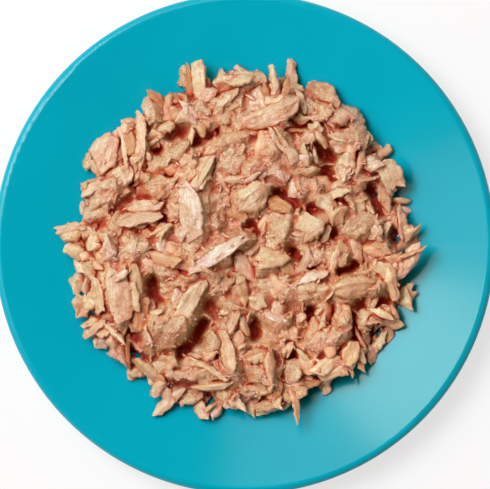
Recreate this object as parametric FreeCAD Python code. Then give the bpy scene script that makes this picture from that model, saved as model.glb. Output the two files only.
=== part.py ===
"""A plate of flaked wet cat food: a round coupe plate with one serving heaped on it.

Millimetres, +Z up. The origin is the centre of the foot ring's resting plane, +X runs to the right
and +Y away from the person the plate is set before. Nodes: plate, food_heap.
"""

import FreeCAD
import Part

import math
import os
import random

V = FreeCAD.Vector

# --- plate: driving sizes -------------------------------------------------------------------------
PLATE_DIAMETER = 160.0
PLATE_FLOOR_THICKNESS = 4.2
PLATE_WALL_THICKNESS = 4.0
FLANK_START_RADIUS = 49.0   # where the flat floor turns up
FLANK_SLOPE_DEG = 14.0
FLANK_BLEND_RADIUS = 22.0   # turn between floor and flank
LIP_TOP_RADIUS = 2.0        # rounding of the rim seen from above
LIP_UNDER_RADIUS = 1.2
FOOT_OUTER_RADIUS = 45.0
FOOT_WIDTH = 4.0
FOOT_HEIGHT = 2.0
FOOT_EDGE_RADIUS = 0.8

FLOOR_TOP = FOOT_HEIGHT + PLATE_FLOOR_THICKNESS
FLANK_SLOPE = math.radians(FLANK_SLOPE_DEG)

# --- heap: driving sizes --------------------------------------------------------------------------
HEAP_RADIUS = 53.6          # mean radius of the packed mass, before the edge flakes
HEAP_HEIGHT = 15.5          # from the plate's floor to the crown of the packed mass
HEAP_EDGE_POWER = 2.6       # flatness of the crown
HEAP_SIDE_POWER = 0.55      # steepness of the side
LUMP_HEIGHT = 1.1           # rise and fall of the packed mass
LUMP_SPACING = 15.0
CORE_RINGS = 8
CORE_SECTORS = 40
CORE_SKIRT = 0.6            # depth of the core below the floor before it is seated on the plate

FLAKE_THICKNESS_SHARE = 0.36   # thickness of a flake as a share of its width
FLAKE_MIN_THICKNESS = 1.3
FLAKE_BEND = 0.10              # rise of a flake's middle as a share of its length
FLAKE_SINK = 0.35              # share of its thickness that a flake beds into the mass
FLAKE_OVERHANG = 0.12          # how far past the edge a flake's middle may lie, as a share of its length
FLAKE_MAX_LEAN_DEG = 32        # steepest slope of the mass that a flake follows
FLAKE_REST_SHARE = 0.4         # height of a flake's middle above the plate where there is no mass under it
# Cross-sections of a flake: place along its length, share of its width, share of its thickness
FLAKE_SECTIONS = ((-0.47, 0.34, 0.5), (-0.2, 0.96, 1.0), (0.16, 1.0, 1.0), (0.47, 0.28, 0.4))

# The outline of the packed mass: (lobes around the heap, height of a lobe, angle of its crest in degrees)
OUTLINE_LOBES = [(1, 1.1, 165.0), (3, 1.1, 100.0), (6, 0.8, 145.0), (11, 0.6, 112.0)]

# Hollows between the flakes: x, y, radius, depth
HOLLOWS = [
    (-33, 17, 3.5, 4), (-24, 7, 3, 4), (-22, 36, 4, 4), (-13, 34, 3.5, 4),
    (25, 30, 4, 5), (26, 23, 4, 5), (14, 15, 3.5, 4), (24, 11, 3, 4), (41, 12, 3.5, 4), (29, 5, 3, 3),
    (-29, -15, 3.5, 4), (-36, -28, 3, 4), (-33, -37, 3.5, 4), (-15, -28, 4, 5), (-20, -34, 4, 4),
    (-10, -20, 4, 3), (-18, -44, 3, 3), (18, -4, 3.5, 4), (35, -7, 3.5, 4), (3, -26, 3, 3),
    (22, -24, 3.5, 4), (34, -25, 3.5, 4), (44, -19, 3, 3), (42, -27, 3, 3), (48, 3, 3.5, 3),
]

# The flakes that stand out, as they lie: x, y of the middle, heading, length, width, nose-up tilt, lift of
# the middle above the packed mass. Headings turn anticlockwise from +X; the nose is the end they point to.
# The places are those of a heap of radius LAYOUT_RADIUS and spread with HEAP_RADIUS.
LAYOUT_RADIUS = 53.6
FLAKES = [
    # left back
    (-17, 8, 93, 19, 8.5, 4, 1.6), (-14, 19, 62, 16, 5.5, 4, 1.4), (-32, 33, 92, 22, 4.2, 3, 1.6),
    (-45, 30, 70, 12, 9.5, -8, 1.2), (-42, 16, 42, 14, 7, 5, 1.4), (-56, 5, 197, 11, 3.6, 10, 1.6),
    (-15, 54, 97, 10, 5.6, 22, 2.2), (-14, 43, 30, 12, 9, 4, 1.0), (-27, 41, 78, 12, 8, 6, 0.8),
    (-7, 34, 20, 18, 3.8, 4, 1.4), (-5, 3, 35, 13, 6.5, 5, 1.2),
    # right back
    (7, 42, 24, 19, 7, 3, 1.8), (25, 18.5, -35, 8, 6.4, 4, 1.8), (48, 22, -62, 13, 8.5, -4, 1.2),
    (51, 8, 100, 13, 3.4, 14, 1.6), (3, 15, 20, 15, 11, 4, 1.4), (20, 8, 22, 13, 9, 5, 1.4),
    (10.5, 55, 96, 10, 4, 22, 1.6), (15.5, 55, 82, 10, 4.4, 22, 1.6), (30, 43, -40, 13, 5, 4, 0.8),
    # left front
    (-40, -16, 276, 20, 9, -4, 1.8), (-48, -27, 222, 11, 4.6, 12, 1.4), (-25, -24, 60, 15, 10, 4, 1.2),
    (-15, -18, 52, 15, 5.5, 6, 1.8), (-5, -33, -72, 16, 6.2, 4, 1.4), (-12, -38, -28, 18, 3.2, 4, 1.6),
    (-24, -50, 226, 12, 3.4, 6, 1.2), (-9, -4, 27, 22, 5.5, 4, 1.6), (-40, -35, -68, 13, 7, 6, 1.0),
    # right front
    (9, -2, 15, 13, 9.5, 5, 1.8), (23.5, -10, 24, 13, 4.6, 4, 1.4), (35, -13, 6, 15, 8.5, 4, 1.6),
    (47, -13, -74, 12, 4.8, 4, 1.2), (52, -5, 62, 16, 6, 4, 1.2), (25, -38, 22, 12, 6, 5, 1.4),
    (9.5, -40, -72, 15, 5.4, 4, 1.6), (15, -48, -30, 12, 7, 4, 1.0), (17, -53.5, -82, 10, 2.8, 10, 1.4),
]

# Smaller flakes between them, spread by the golden angle from the crown to the side, clear of the hollows
FILL_COUNT = 165
FILL_LENGTH = (7.5, 12.0)
FILL_WIDTH = (3.6, 6.4)
FILL_LIFT = 0.4
HOLLOW_MARGIN = 1.45   # distance from a hollow's middle, in its radii, within which no smaller flake lies
FILL_SEED = 11


def plate_top(radius):
    """Height of the plate's upper surface at a radius, with the turn between floor and flank left sharp."""
    return FLOOR_TOP + max(0.0, radius - FLANK_START_RADIUS) * math.tan(FLANK_SLOPE)


def rounded_profile(corners):
    """A closed wire in the XZ plane through (radius, height, rounding) corners, rounded by tangent arcs."""
    edges = []
    points = [V(r, 0, z) for r, z, _ in corners]
    last = None
    for i, (_, _, rounding) in enumerate(corners):
        here = points[i]
        if rounding > 0:
            to_before = (points[i - 1] - here).normalize()
            to_after = (points[(i + 1) % len(points)] - here).normalize()
            half = to_before.getAngle(to_after) / 2
            reach = rounding / math.tan(half)
            start = here + to_before * reach
            end = here + to_after * reach
            middle = (to_before + to_after).normalize()
            top = here + middle * (rounding / math.sin(half) - rounding)
        else:
            start = end = here
        if last is not None:
            edges.append(Part.LineSegment(last, start).toShape())
        if rounding > 0:
            edges.append(Part.Arc(start, top, end).toShape())
        last = end
    edges.append(Part.LineSegment(last, points[0]).toShape())
    return Part.Wire(edges)


def make_plate():
    """A coupe plate: flat floor, straight rising flank, rounded lip and a foot ring."""
    rim = PLATE_DIAMETER / 2
    foot_inner = FOOT_OUTER_RADIUS - FOOT_WIDTH
    wall = PLATE_WALL_THICKNESS / math.cos(FLANK_SLOPE)
    rim_under = plate_top(rim) - wall
    knee = rim - (rim_under - FOOT_HEIGHT) / math.tan(FLANK_SLOPE)
    knee_blend = min(FLANK_BLEND_RADIUS, 0.9 * (knee - FOOT_OUTER_RADIUS) / math.tan(FLANK_SLOPE / 2))
    corners = [
        (0, FLOOR_TOP, 0),
        (FLANK_START_RADIUS, FLOOR_TOP, FLANK_BLEND_RADIUS),
        (rim, plate_top(rim), LIP_TOP_RADIUS),
        (rim, rim_under, LIP_UNDER_RADIUS),
        (knee, FOOT_HEIGHT, knee_blend),
        (FOOT_OUTER_RADIUS, FOOT_HEIGHT, 0),
        (FOOT_OUTER_RADIUS, 0, FOOT_EDGE_RADIUS),
        (foot_inner, 0, FOOT_EDGE_RADIUS),
        (foot_inner, FOOT_HEIGHT, FOOT_EDGE_RADIUS),
        (0, FOOT_HEIGHT, 0),
    ]
    section = Part.Face(rounded_profile(corners))
    return section.revolve(V(0, 0, 0), V(0, 0, 1), 360)


def edge_radius(angle):
    """Radius of the packed mass at an angle, in radians."""
    return HEAP_RADIUS + sum(
        height * math.cos(lobes * (angle - math.radians(crest))) for lobes, height, crest in OUTLINE_LOBES
    )


def mass_height(x, y):
    """Height of the packed mass above the plate's floor."""
    share = math.hypot(x, y) / edge_radius(math.atan2(y, x))
    if share >= 1:
        return 0.0
    dome = HEAP_HEIGHT * (1 - share**HEAP_EDGE_POWER) ** HEAP_SIDE_POWER
    turn = 2 * math.pi / LUMP_SPACING
    lumps = math.sin(turn * x + 0.8 * math.sin(turn * y)) * math.cos(turn * y + 0.6)
    dome += LUMP_HEIGHT * lumps * (1 - share**6)
    for hx, hy, radius, depth in HOLLOWS:
        dome -= depth * math.exp(-((x - hx) ** 2 + (y - hy) ** 2) / radius**2)
    return max(dome, 0.0)


def solid_of(triangles):
    """A solid from triangles whose corners turn anticlockwise seen from outside."""
    faces = [Part.Face(Part.makePolygon([a, b, c, a])) for a, b, c in triangles]
    solid = Part.Solid(Part.makeShell(faces))
    if solid.Volume < 0:
        solid.reverse()
    return solid


def make_core():
    """The packed mass as rings of facets, from the crown down to the plate's floor."""
    base = FLOOR_TOP - CORE_SKIRT
    rings = []
    for i in range(1, CORE_RINGS + 1):
        share = math.sin(0.5 * math.pi * i / CORE_RINGS)
        ring = []
        for k in range(CORE_SECTORS):
            angle = 2 * math.pi * (k + 0.5 * (i % 2)) / CORE_SECTORS
            r = share * edge_radius(angle)
            x, y = r * math.cos(angle), r * math.sin(angle)
            z = FLOOR_TOP + mass_height(x, y) if i < CORE_RINGS else base
            ring.append(V(x, y, z))
        rings.append(ring)
    crown = V(0, 0, FLOOR_TOP + mass_height(0, 0))
    under = V(0, 0, base)
    triangles = []
    for k in range(CORE_SECTORS):
        after = (k + 1) % CORE_SECTORS
        triangles.append((crown, rings[0][k], rings[0][after]))
        triangles.append((under, rings[-1][after], rings[-1][k]))
        for i in range(CORE_RINGS - 1):
            inner, outer = rings[i], rings[i + 1]
            if i % 2 == 0:  # the inner ring stands half a sector ahead of the outer one
                triangles.append((inner[k], outer[k], outer[after]))
                triangles.append((inner[k], outer[after], inner[after]))
            else:
                triangles.append((inner[k], outer[k], inner[after]))
                triangles.append((outer[k], outer[after], inner[after]))
    return solid_of(triangles)


def make_flake(length, width, chance):
    """A flake along X about the origin: torn ends, a bent and ridged back and a flatter belly."""
    thick = max(FLAKE_MIN_THICKNESS, FLAKE_THICKNESS_SHARE * width)
    sections = []
    for along, wide, deep in FLAKE_SECTIONS:
        x = length * (along + chance.uniform(-0.03, 0.03))
        half = 0.5 * width * wide * chance.uniform(0.88, 1.12)
        shift = width * chance.uniform(-0.08, 0.08)
        rise = FLAKE_BEND * length * (1 - (2 * along) ** 2)
        crest = half * chance.uniform(-0.5, 0.5)
        sections.append([
            V(x, shift + half, rise),
            V(x, shift + crest, rise + 0.6 * thick * deep),
            V(x, shift - half, rise - 0.1 * thick * deep),
            V(x, shift - crest, rise - 0.4 * thick * deep),
        ])
    tail, nose = sections[0], sections[-1]
    triangles = [(tail[0], tail[1], tail[2]), (tail[0], tail[2], tail[3])]
    triangles += [(nose[0], nose[2], nose[1]), (nose[0], nose[3], nose[2])]
    for near, far in zip(sections, sections[1:]):
        for k in range(4):
            after = (k + 1) % 4
            triangles.append((near[k], far[k], far[after]))
            triangles.append((near[k], far[after], near[after]))
    return solid_of(triangles), thick


def lay_flake(x, y, heading, length, width, tilt, lift, chance):
    """A flake turned to its heading, leaning with the slope under it, and bedded into the mass."""
    flake, thick = make_flake(length, width, chance)
    turn = math.radians(heading)
    ahead = V(math.cos(turn), math.sin(turn), 0)
    aside = V(-ahead.y, ahead.x, 0)
    away = max(math.hypot(x, y), 1.0)
    edge = edge_radius(math.atan2(y, x))
    place = V(x, y, 0) * min(1.0, (edge + FLAKE_OVERHANG * length) / away)
    # a flake that stands out past the edge takes its height from the mass just inside the edge
    middle = V(x, y, 0) * min(1.0, 0.985 * edge / away)

    def ground(along, across):
        point = middle + ahead * along + aside * across
        return mass_height(point.x, point.y)

    steepest = math.radians(FLAKE_MAX_LEAN_DEG)
    reach = 0.3 * length
    rise_ahead = math.atan2(ground(reach, 0) - ground(-reach, 0), 2 * reach)
    rise_aside = math.atan2(ground(0, width) - ground(0, -width), 2 * width)
    pitch = max(-steepest, min(steepest, 0.6 * rise_ahead)) + math.radians(tilt)
    roll = max(-steepest, min(steepest, 0.7 * rise_aside))
    height = FLOOR_TOP + ground(0, 0) + 0.45 * lift - FLAKE_SINK * thick - FLAKE_BEND * length
    height = max(height, plate_top(place.Length) + FLAKE_REST_SHARE * thick)
    flake.rotate(V(0, 0, 0), V(1, 0, 0), math.degrees(roll))
    flake.rotate(V(0, 0, 0), V(0, 1, 0), -math.degrees(pitch))
    flake.rotate(V(0, 0, 0), V(0, 0, 1), heading)
    flake.translate(place + V(0, 0, height))
    return flake


def standing_flakes():
    """Placements of the flakes that stand out, spread to the heap's radius."""
    spread = HEAP_RADIUS / LAYOUT_RADIUS
    for x, y, *rest in FLAKES:
        yield x * spread, y * spread, *rest


def fill_flakes(chance):
    """Placements of the smaller flakes, spiralling out by the golden angle."""
    golden = math.pi * (3 - math.sqrt(5))
    for i in range(FILL_COUNT):
        r = 0.97 * HEAP_RADIUS * math.sqrt((i + 0.5) / FILL_COUNT)
        x, y = r * math.cos(i * golden), r * math.sin(i * golden)
        heading = chance.uniform(0, 360)
        length = chance.uniform(*FILL_LENGTH)
        width = chance.uniform(*FILL_WIDTH)
        if all(math.hypot(x - hx, y - hy) > HOLLOW_MARGIN * radius for hx, hy, radius, _ in HOLLOWS):
            yield x, y, heading, length, width, 0, FILL_LIFT


def make_heap(plate):
    """The packed mass and every flake as one body, seated on the plate."""
    chance = random.Random(FILL_SEED)
    flakes = [lay_flake(*placement, chance) for placement in standing_flakes()]
    flakes += [lay_flake(*placement, chance) for placement in fill_flakes(chance)]
    heap = make_core().multiFuse(flakes).cut(plate)
    # what the plate's wall cut off below it isn't food
    return [solid for solid in heap.Solids if solid.CenterOfMass.z > FLOOR_TOP]


def main():
    os.makedirs("parts", exist_ok=True)
    plate = make_plate()
    heap = make_heap(plate)
    for name, solid in [("plate", plate)] + [("food_heap", solid) for solid in heap]:
        print(name, solid.isValid(), round(solid.Volume / 1000, 2), "cm3", len(solid.Faces), "faces")
    plate.exportStep("parts/plate.step")
    Part.makeCompound(heap).exportStep("parts/food_heap.step")


main()
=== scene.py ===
"""The looks of the plate of flaked cat food: its glaze, and flakes, shreds, crumbs and jelly on a core."""

import math
from collections import namedtuple

import bmesh
import bpy
import numpy as np
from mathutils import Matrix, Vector


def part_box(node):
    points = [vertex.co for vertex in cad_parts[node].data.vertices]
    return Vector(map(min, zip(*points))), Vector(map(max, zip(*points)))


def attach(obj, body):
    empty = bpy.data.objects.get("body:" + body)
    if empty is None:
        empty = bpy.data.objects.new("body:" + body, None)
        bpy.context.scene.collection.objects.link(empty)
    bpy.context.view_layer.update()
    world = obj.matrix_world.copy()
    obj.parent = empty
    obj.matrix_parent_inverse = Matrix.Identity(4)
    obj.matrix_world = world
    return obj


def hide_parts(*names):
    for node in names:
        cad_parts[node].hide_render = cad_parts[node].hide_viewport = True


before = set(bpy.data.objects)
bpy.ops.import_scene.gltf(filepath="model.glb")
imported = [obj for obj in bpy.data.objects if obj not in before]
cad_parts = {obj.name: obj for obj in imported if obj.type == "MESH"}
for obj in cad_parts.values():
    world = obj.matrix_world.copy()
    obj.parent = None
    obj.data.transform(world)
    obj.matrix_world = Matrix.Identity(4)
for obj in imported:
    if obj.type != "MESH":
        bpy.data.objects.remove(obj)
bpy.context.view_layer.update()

# Shapes are worked out in millimetres and put into the frame in metres.
MM = 0.001
_, plate_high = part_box("plate")
heap_low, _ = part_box("food_heap")
RIM_TOP = plate_high.z / MM
FLOOR_TOP = heap_low.z / MM

chance = np.random.default_rng(20)

# --- the core of the heap ---
CORE_RADIUS = 52.0
CORE_HEIGHT = 10.5
CORE_EDGE_POWER = 6.5   # how late the dome falls away towards its edge
CORE_SIDE_POWER = 0.5   # how suddenly it then does
CORE_LEAST = 0.4        # height left at the bottom of a crevice
# Lobes of the outline: how many there are round it, how far they reach, and the angle of one of them
OUTLINE_LOBES = [(1, 1.1, 165), (3, 1.1, 100), (6, 0.8, 145), (11, 0.6, 112)]

# Crevices between the flakes: x and y of one end, x and y of the other, half the width, depth
HOLLOWS = [
    (-35, 19, -31.5, 14.5, 2.4, 8), (-25.5, 6.8, -22.5, 6.2, 1.8, 7), (-23.5, 36.5, -20.5, 35, 2.4, 6),
    (-16, 33, -8.5, 35, 1.6, 7), (-28.5, 31, -27, 29.5, 1.6, 5), (-37, 28, -36, 23, 1.3, 5),
    (-31, 23.5, -22, 22.5, 1.2, 4), (-18, 49, -16, 47, 1.8, 4), (-40, 10.5, -28, 10.2, 0.9, 4),
    (-39, 4.8, -28, 5.2, 0.9, 4), (-49, 4.5, -45, 5.5, 1.6, 4), (-41, 9.5, -36, 15.5, 1.1, 4),
    (22.5, 32.5, 27, 27.5, 1.9, 8), (26.5, 23, 26.7, 21.5, 2.5, 8), (11, 17, 16.5, 12.5, 1.6, 7),
    (21.5, 10, 25.5, 13, 1.7, 7), (39.8, 17.5, 43.5, 10.5, 1.7, 7), (28.3, 5.5, 29.2, 2.5, 1.4, 6),
    (1, 5, 4, 4.2, 1.4, 4), (13, 39.6, 20, 38, 0.9, 4), (5, 38, 8, 36.5, 1.2, 4),
    (31, 36.2, 36, 34.2, 1.2, 5), (32, 13, 30, 15, 1.4, 5), (47, 13, 48.5, 12, 1.6, 4),
    (-29.5, -12, -28.5, -19, 1.9, 8), (-36, -28.5, -34, -30, 1.9, 7), (-37, -34, -29.5, -39, 1.6, 7),
    (-13, -26, -19.5, -34, 2.2, 9), (-11, -20, -8.5, -22, 2.4, 5), (-21, -44, -15, -45, 1.4, 6),
    (-23, -8.5, -17.5, -9.2, 1.1, 5), (-3, -29, -1.5, -28.5, 1.2, 5), (-12, -48.5, -10.5, -47.5, 1.6, 4),
    (-9.5, -26, -9, -38, 0.8, 3), (15, -3, 21, -6, 1.9, 8), (30, -9, 37, -5, 1.6, 7),
    (3, -25.5, 3, -29, 1.6, 7), (21, -22, 22.5, -27.5, 1.7, 7), (27, -21, 28, -24, 1.3, 5),
    (33.5, -20, 35.5, -30, 1.3, 7), (43, -18.2, 46, -18.8, 1.2, 5), (36, -19.5, 37.5, -18.5, 1.5, 5),
    (40.2, -26, 42.5, -30, 1.3, 6), (48, 4, 48.8, 1.5, 1.4, 5), (15.5, -36.5, 15.5, -38, 1.7, 6),
    (9, -35.5, 10, -37.5, 1.6, 5), (18, -46, 21, -43, 1.5, 4), (1, -45.2, 6, -45, 0.8, 3),
]

# --- colours ---
# Tones of the cooked meat and the jelly, as displayed red, green and blue
TONES = {
    "white": (243, 234, 214),
    "cream": (237, 224, 189),
    "beige": (233, 217, 178),
    "tan": (228, 208, 166),
    "pink": (235, 211, 180),
    "blush": (229, 196, 156),
    "rust": (213, 164, 112),
    "pulp": (232, 214, 178),
    "jelly": (243, 209, 168),
}
PALE_TONES = ["white", "cream", "beige", "pink"]
TONE_RANGE = PALE_TONES + ["tan", "blush", "rust"]

# Tints that multiply the tone, each with the two values of a measure between which it comes in
SIDE_SHADE, STEEP = (0.98, 0.84, 0.68), (0.92, 0.35)     # steep sides redder, painted shade and the redder inside of torn meat: upward share of the normal
DENT_SHADE, DENTED = (0.97, 0.78, 0.57), (-0.1, 1.5)     # painted shade in dents, with juice: how far below the nearest surface
HOLLOW_SHADE, SUNK = (0.84, 0.24, 0.08), (0.6, 4.2)        # painted shade in hollows, with juice: how far below the wider surface
FRONT_RIGHT_PAINTED_LIGHT, FRONT_RIGHT_REACH = (1.14, 1.10, 1.05), (15, 52)        # painted light, the paler front right: how far that way
DENT_REACH, HOLLOW_REACH = 1.2, 3.0                 # that the nearest and the wider surface are averaged over
SHADE_OFF_OUTSIDE, OUTSIDE = 0.75, (-5.0, 0.5)            # how much less painted shade in dents and hollows there is beyond the outline

# --- the flakes ---
# How each look of flake is made: how steeply its torn points run back, how far its sides draw in at the
# ends and between them, how square its rim is, and how high the ledges on it are
Look = namedtuple("Look", "blunt narrow wide rim_power ledge")
LOOKS = {
    "f": Look(1.0, 0.35, 0.7, 7, 0.3),      # fibrous
    "w": Look(0.6, 0.45, 0.85, 7, 0.3),     # fibrous and whole
    "s": Look(0.55, 0.5, 0.75, 7, 0.12),    # smooth
    "g": Look(0.7, 0.5, 0.75, 3, 0.0),      # granular
}
THIN_SHARE, THIN_MORE = (0.12, 0.26), 0.9   # thickness: share of the width, and what is added to it
THICK_SHARE, THICK_MORE = (0.3, 0.5), 0.6   # the same for granular flakes
TORN_SHARE = 0.36       # of the length that each torn end may take up
TAPER_LENGTH = 2.4      # over which the ends grow thinner
TIP_THICKNESS = 0.12    # share of the thickness at a tip
STEEPEST = 38           # degrees that a flake tips to follow what it lies on

# The granular flakes that stand out, from the lowest to the topmost: x, y of the middle, heading, length,
# width, nose-up tilt and tone
GRANULAR_FLAKES = [
    # left back
    (-37, 37.5, 60, 8, 5, 0, "rust"), (-50, 26, 85, 9, 4, 4, "tan"), (-27, 25, 10, 12, 8, 0, "beige"),
    (-20, 24, 20, 12, 6, 0, "beige"), (-26, 18, 10, 12, 8, 0, "beige"), (-29, 43, 70, 12, 9, 4, "beige"),
    (-18, 52, 100, 12, 5, 8, "tan"), (-7, 50, 40, 14, 9, 4, "beige"), (-12, 47, 10, 9, 6, 0, "pink"),
    (-3, 45, 30, 9, 6, 4, "beige"), (-55, 3, 20, 12, 7, 0, "tan"), (-48, 10, 22, 14, 7, 2, "beige"),
    (-40, 6, 70, 10, 6, 0, "tan"), (-6, 47, 55, 10, 5, 8, "cream"), (-13.5, 42, 20, 9, 7, 2, "cream"),
    (-21, 30, 30, 10, 6, 6, "beige"), (-34.5, 21, 78, 9, 3.4, 6, "cream"),
    (-44.5, 15.5, 43, 17, 7.5, 4, "cream"), (-7, 33, 20, 22, 4.6, 4, "beige"),
    (-11, 39, 150, 9, 4, 0, "pink"), (-2, 39, 60, 8, 6, 0, "cream"), (-9, 13, 60, 10, 6, 0, "tan"),
    (-10, 6, 50, 10, 7, 0, "pink"), (-4, 27, 20, 14, 9, 0, "beige"),
    # right back
    (3, 53, 5, 12, 6, 4, "beige"), (25, 47, -42, 14, 8, 0, "tan"), (24, 42, 20, 9, 6, 0, "blush"),
    (33, 39.5, -35, 14, 9, 0, "beige"), (30, 41, 20, 10, 7, 4, "pink"), (36, 33, -40, 12, 8, 0, "tan"),
    (6, 29, 60, 12, 9, 0, "pink"), (11, 24, 100, 10, 8, 0, "white"), (4, 24, 20, 10, 6, 0, "pink"),
    (40, 27, -30, 12, 8, 0, "beige"), (37, 21, 10, 10, 5, 0, "blush"), (36, 12, 95, 11, 7, 0, "tan"),
    (10, 6.5, 90, 13, 10, 0, "beige"), (38, 4, 10, 14, 9, 0, "tan"), (17.5, 17, 80, 9, 5, 4, "cream"),
    (36, 17.5, 5, 8, 4, 4, "beige"), (19.5, 28, 95, 9, 3.6, 4, "cream"), (31.5, 22.5, 60, 7, 5, 4, "cream"),
    (40.5, 25, 10, 9, 5, 2, "white"),
    # left front
    (-51, -8, 120, 11, 6, 0, "tan"), (-43, -4, 10, 9, 7, 0, "white"), (-35, -2, 10, 14, 7, 0, "cream"),
    (-39, -34.5, -72, 14, 8, 0, "pink"), (-27, -40, 10, 10, 6, 0, "beige"), (-26, -9, -10, 12, 6, 0, "beige"),
    (-19, -12, 60, 9, 6, 0, "pink"), (-30, -20, 40, 9, 6, 2, "pink"), (-25, -28, 60, 17, 13, 2, "tan"),
    (-25, -21, 65, 12, 5, 5, "cream"), (-11, -32, 80, 10, 6, 0, "cream"), (-17, -49, 20, 11, 6, 0, "beige"),
    (-6, -48, 80, 8, 6, 0, "tan"), (-17, -41.5, 8, 15, 5, 2, "pink"), (-4, -22, 30, 12, 9, 0, "beige"),
    # right front
    (10, -12, 10, 11, 7, 0, "cream"), (19, -16, 10, 18, 9, 0, "beige"), (24, -4, 60, 11, 7, 0, "pink"),
    (42, -3, 20, 12, 7, 0, "beige"), (30.5, -25, -75, 13, 7, 0, "beige"), (25, -31, 20, 14, 8, 0, "pink"),
    (4, -41, 0, 10, 6, 0, "beige"), (3.5, -47, -4, 12, 5.6, 2, "beige"), (16, -41, 60, 9, 7, 0, "beige"),
    (8, -51.5, 0, 12, 5, 0, "tan"), (15.5, -47.5, -30, 12, 8, 2, "tan"), (40.5, -8.5, 60, 9, 6, 2, "beige"),
    (40, -24.5, 0, 9, 4, 0, "pink"),
]
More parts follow.
